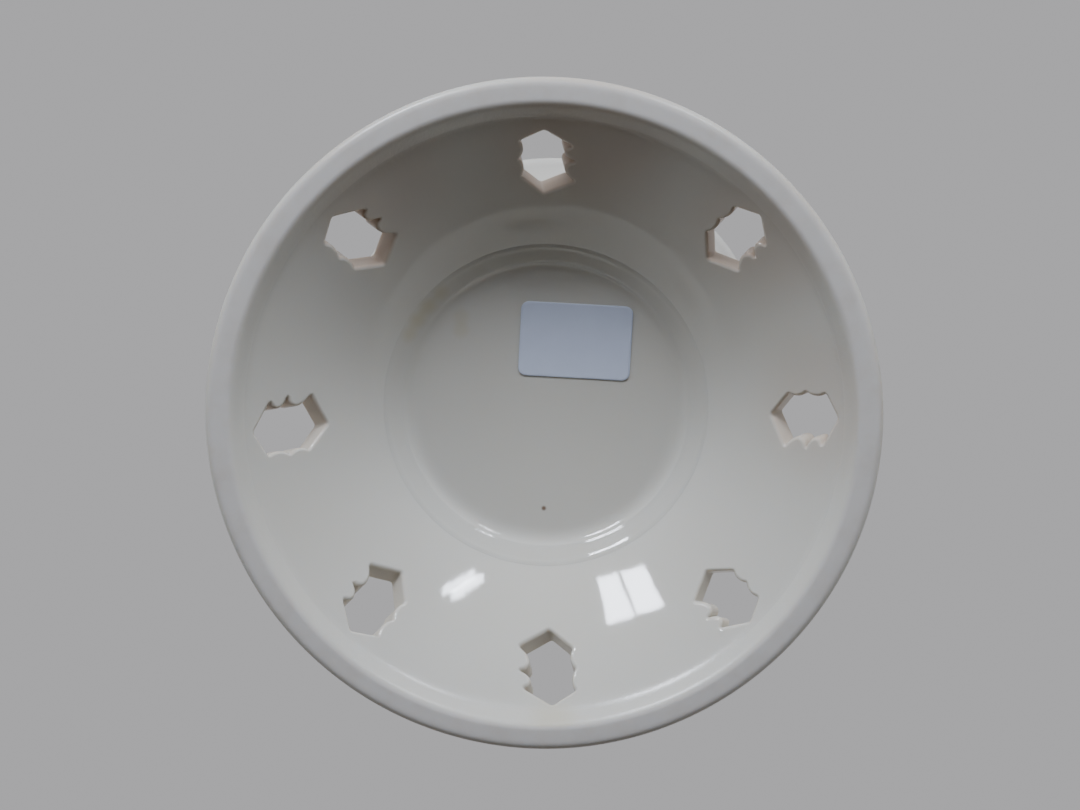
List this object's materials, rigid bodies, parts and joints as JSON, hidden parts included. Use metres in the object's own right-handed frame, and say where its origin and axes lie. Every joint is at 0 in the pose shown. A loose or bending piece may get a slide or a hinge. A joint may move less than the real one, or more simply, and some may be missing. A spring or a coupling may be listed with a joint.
{
  "type": "votive candle holder",
  "caption": "Glazed porcelain votive candle holder: a flared skirt pierced with holly-leaf cut-outs carries an open cup with its candle and a bare paper price label under the cup.",
  "frame": {"origin": "middle of the foot rim, on the surface that it stands on", "axes": "+Z up through the cup's mouth; seen from below with -Y up, +X is to the right as in the picture, through the middle of one leaf cut-out"},
  "size_m": [0.108, 0.108, 0.064],
  "materials": {
    "porcelain": "ivory porcelain under clear gloss glaze, wiped bare on the foot rim",
    "slip_seam": "casting slip under clear gloss glaze",
    "porcelain_cup": "ivory porcelain under clear gloss glaze",
    "label_paper": "matt white sticker paper",
    "wax": "satin paraffin wax",
    "wick_cotton": "waxed cotton braid",
    "tinned_steel": "bright tinned sheet"
  },
  "bodies": {
    "holder": {"pierced_skirt": "porcelain", "slip_joint": "slip_seam", "candle_cup": "porcelain_cup", "price_label": "label_paper"},
    "candle": {"candle_wax": "wax", "candle_wick": "wick_cotton", "wick_sustainer": "tinned_steel"}
  },
  "joints": [
    {"name": "candle_lift", "type": "slide", "parent": "holder", "child": "candle", "axis": [0, 0, 1], "range_m": [0, 0.05]}
  ]
}
